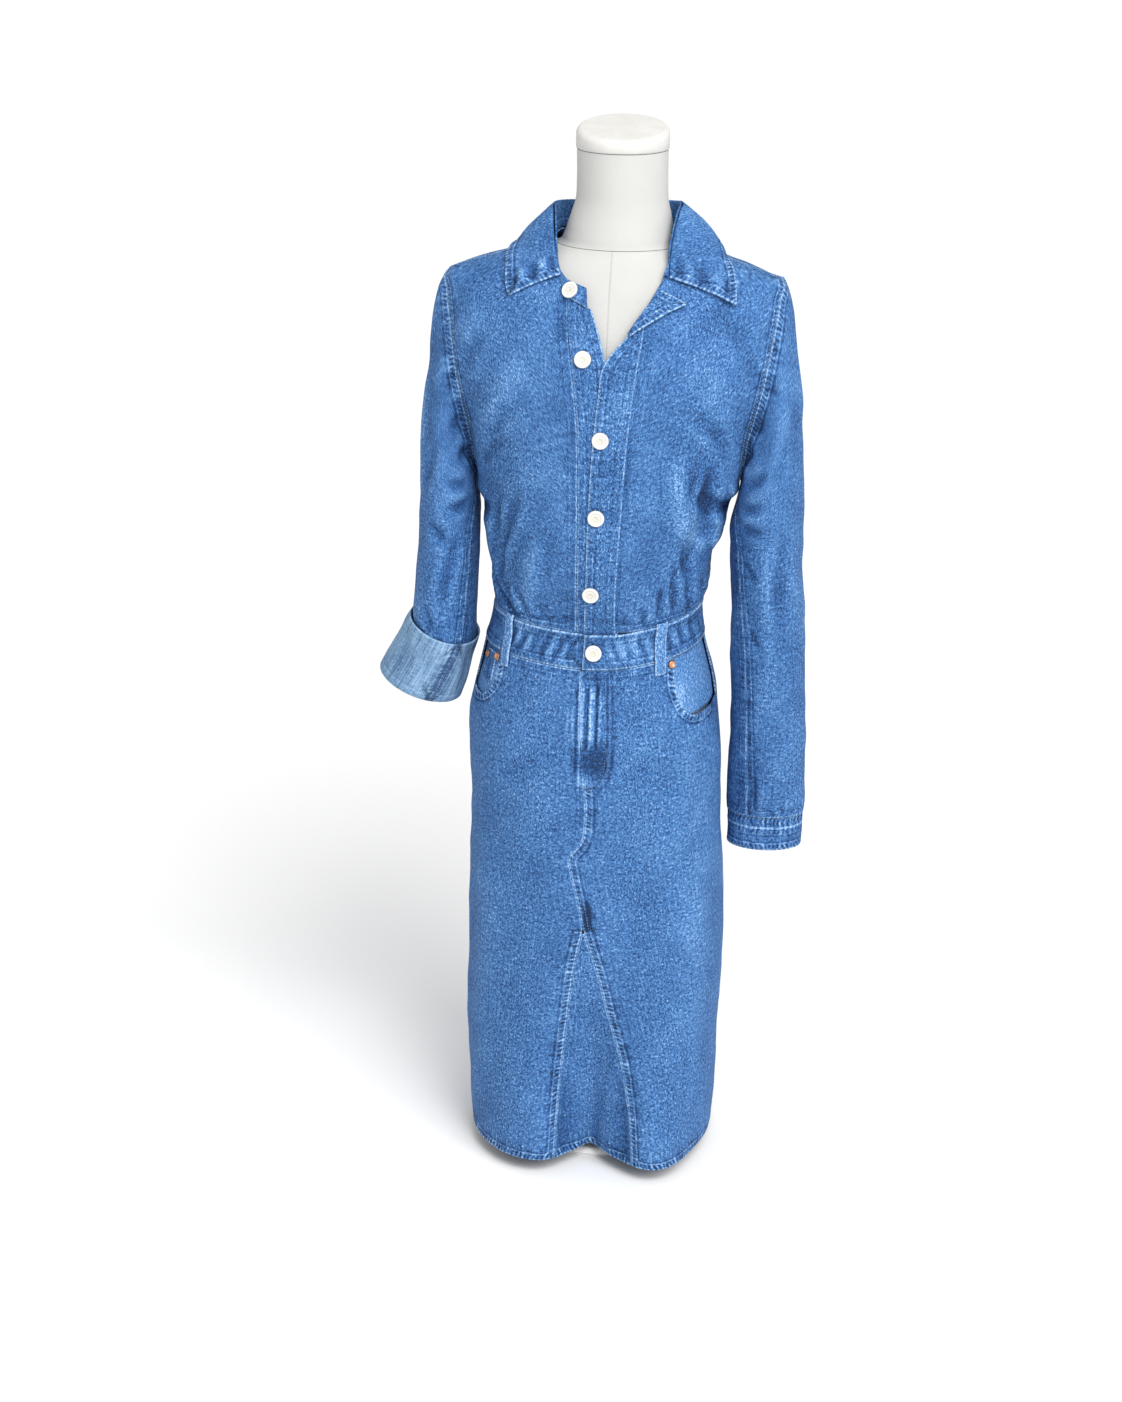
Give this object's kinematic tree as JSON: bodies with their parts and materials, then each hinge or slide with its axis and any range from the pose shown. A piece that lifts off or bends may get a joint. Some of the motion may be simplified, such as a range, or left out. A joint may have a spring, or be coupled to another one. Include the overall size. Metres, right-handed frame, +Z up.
{
  "type": "denim shirt dress on a limbless dress form",
  "caption": "Button-front denim shirt dress with a collar, one long and one turned-up sleeve, and a straight midi skirt, on a standing limbless dress form.",
  "frame": {"origin": "centre of the round base's underside, on the floor", "axes": "+Z up along the pole; -Y is the dress's front, where it buttons; +X is the wearer's left"},
  "size_m": [0.4786, 0.2473, 1.1773],
  "materials": {
    "denim": "mid-blue washed denim, matt twill",
    "denim_wrong_side": "pale wrong side of the denim",
    "pocket_denim": "smoother denim of the pocket facings",
    "button_pearl": "satin off-white",
    "rivet_copper": "satin copper",
    "form_fabric": "off-white knitted cover",
    "cap_paint": "satin ivory",
    "stand_paint": "satin white"
  },
  "bodies": {
    "root": {"bodice_front_right": "denim", "bodice_front_left": "denim", "bodice_back": "denim", "placket_under": "denim", "placket_over": "denim", "placket_turned_corner": "denim", "collar_stand": "denim", "collar_leaf": "denim", "sleeve_right": "denim", "sleeve_turn_up": "denim_wrong_side", "sleeve_left": "denim", "cuff_left": "denim", "waistband": "denim", "belt_loop_right_front": "denim", "belt_loop_left_front": "denim", "belt_loop_left_back": "denim", "belt_loop_centre_back": "denim", "belt_loop_right_back": "denim", "skirt_front_right": "denim", "skirt_front_left": "denim", "skirt_gusset": "denim", "skirt_back_left": "denim", "skirt_back_right": "denim", "pocket_facing_right": "pocket_denim", "pocket_facing_left": "pocket_denim", "coin_pocket": "denim", "button_1": "button_pearl", "button_2": "button_pearl", "button_3": "button_pearl", "button_4": "button_pearl", "button_5": "button_pearl", "button_6": "button_pearl", "button_cuff": "button_pearl", "rivet_left": "rivet_copper", "rivet_right": "rivet_copper", "rivet_coin_pocket": "rivet_copper", "form_torso": "form_fabric", "form_neck": "form_fabric", "form_neck_cap": "cap_paint", "form_pole": "stand_paint", "form_base": "stand_paint"}
  },
  "joints": []
}
